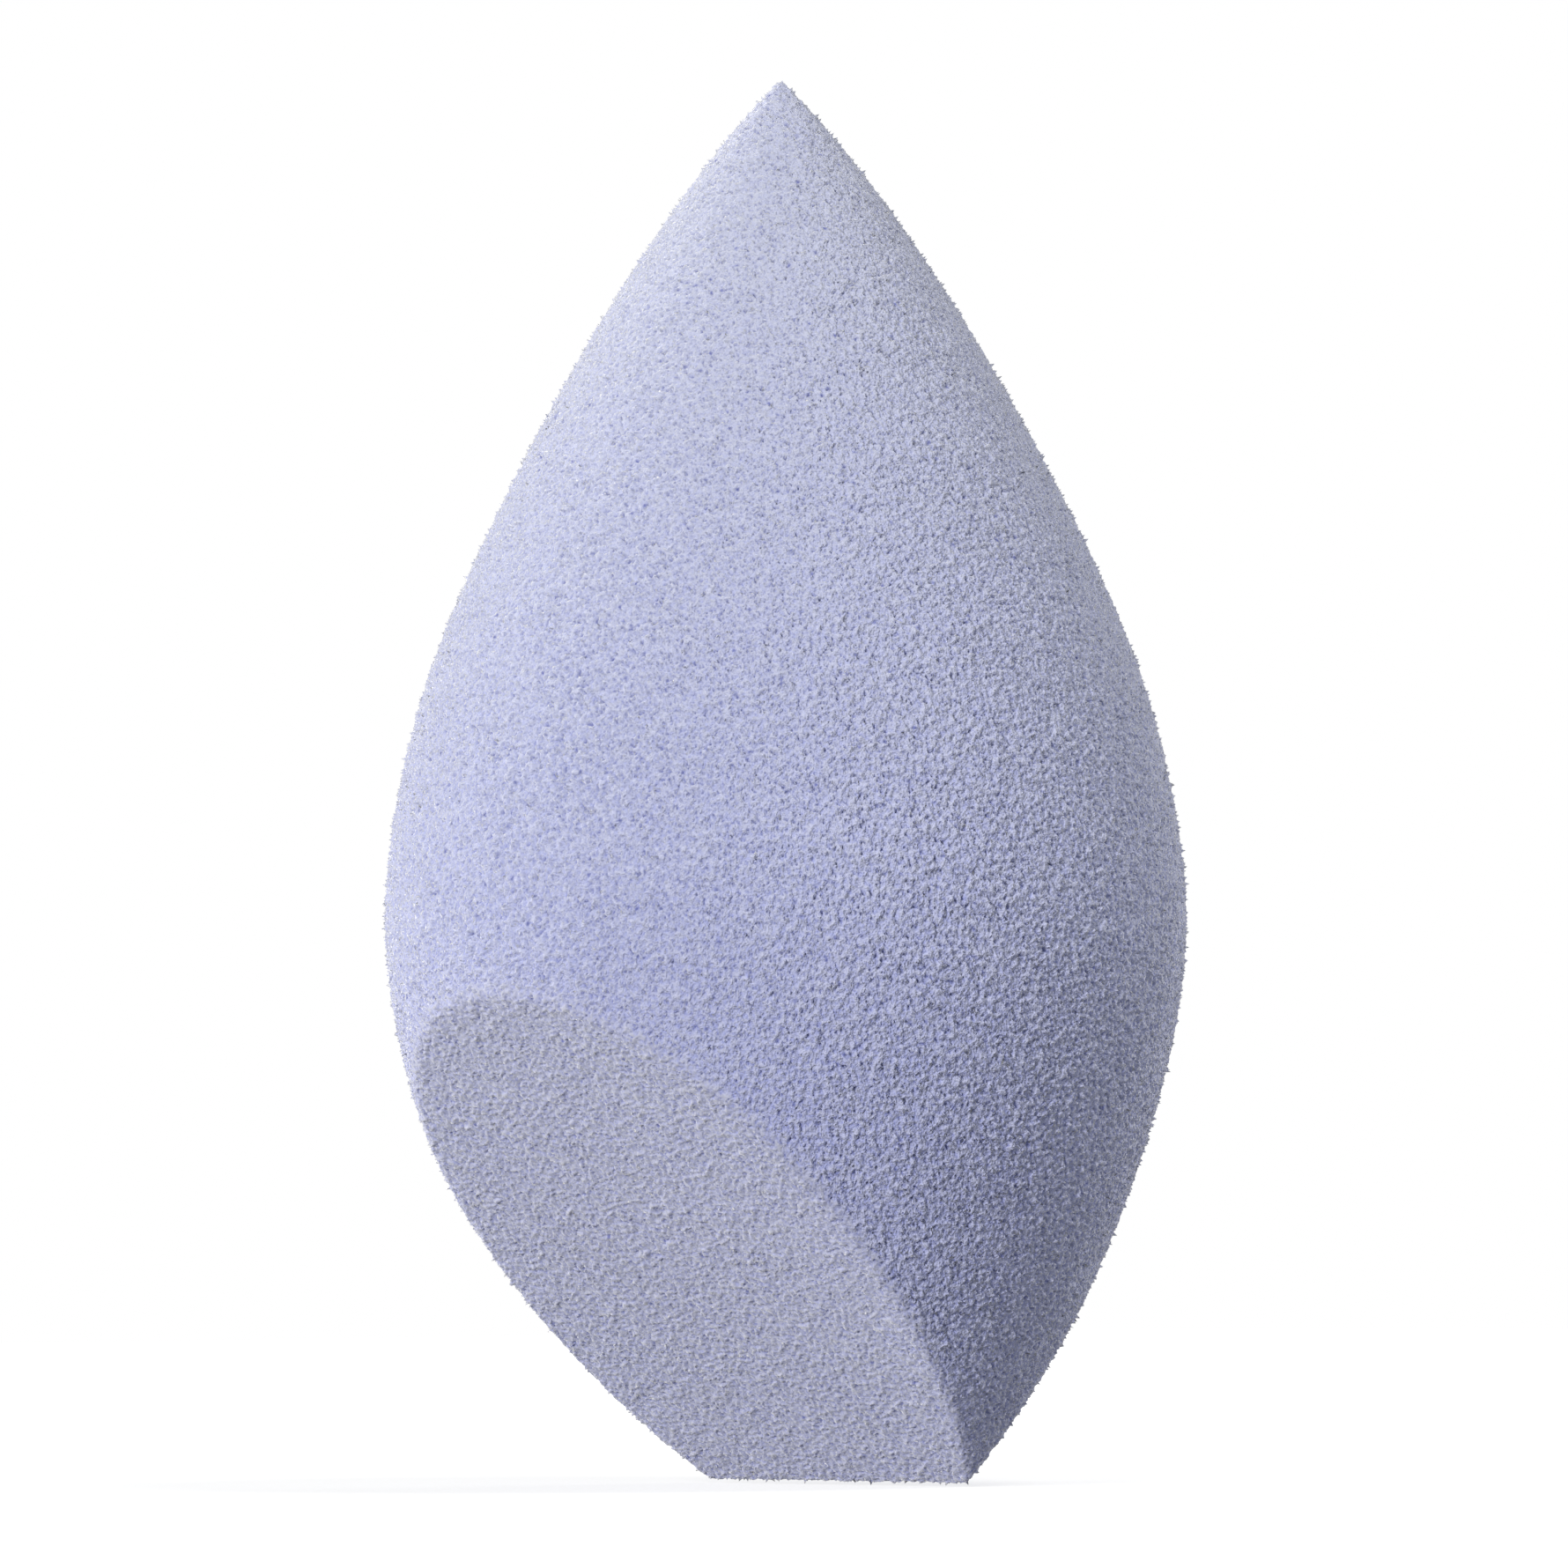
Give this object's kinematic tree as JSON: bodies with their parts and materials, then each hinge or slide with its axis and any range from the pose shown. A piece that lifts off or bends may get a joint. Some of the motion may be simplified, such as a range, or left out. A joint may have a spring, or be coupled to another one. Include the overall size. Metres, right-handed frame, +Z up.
{
  "type": "makeup sponge",
  "caption": "Pointed drop-shaped makeup sponge of soft open-cell foam, its base cut by slanted flats that meet in a straight ridge.",
  "frame": {"origin": "on the sponge's axis, level with the ridge of the base", "axes": "+Z up the axis to the tip, X along the ridge, -Y towards the larger cut face"},
  "size_m": [0.037, 0.037, 0.065],
  "materials": {
    "foam": "matte fine-cell open foam, lavender"
  },
  "bodies": {
    "root": {"foam_body": "foam"}
  },
  "joints": []
}
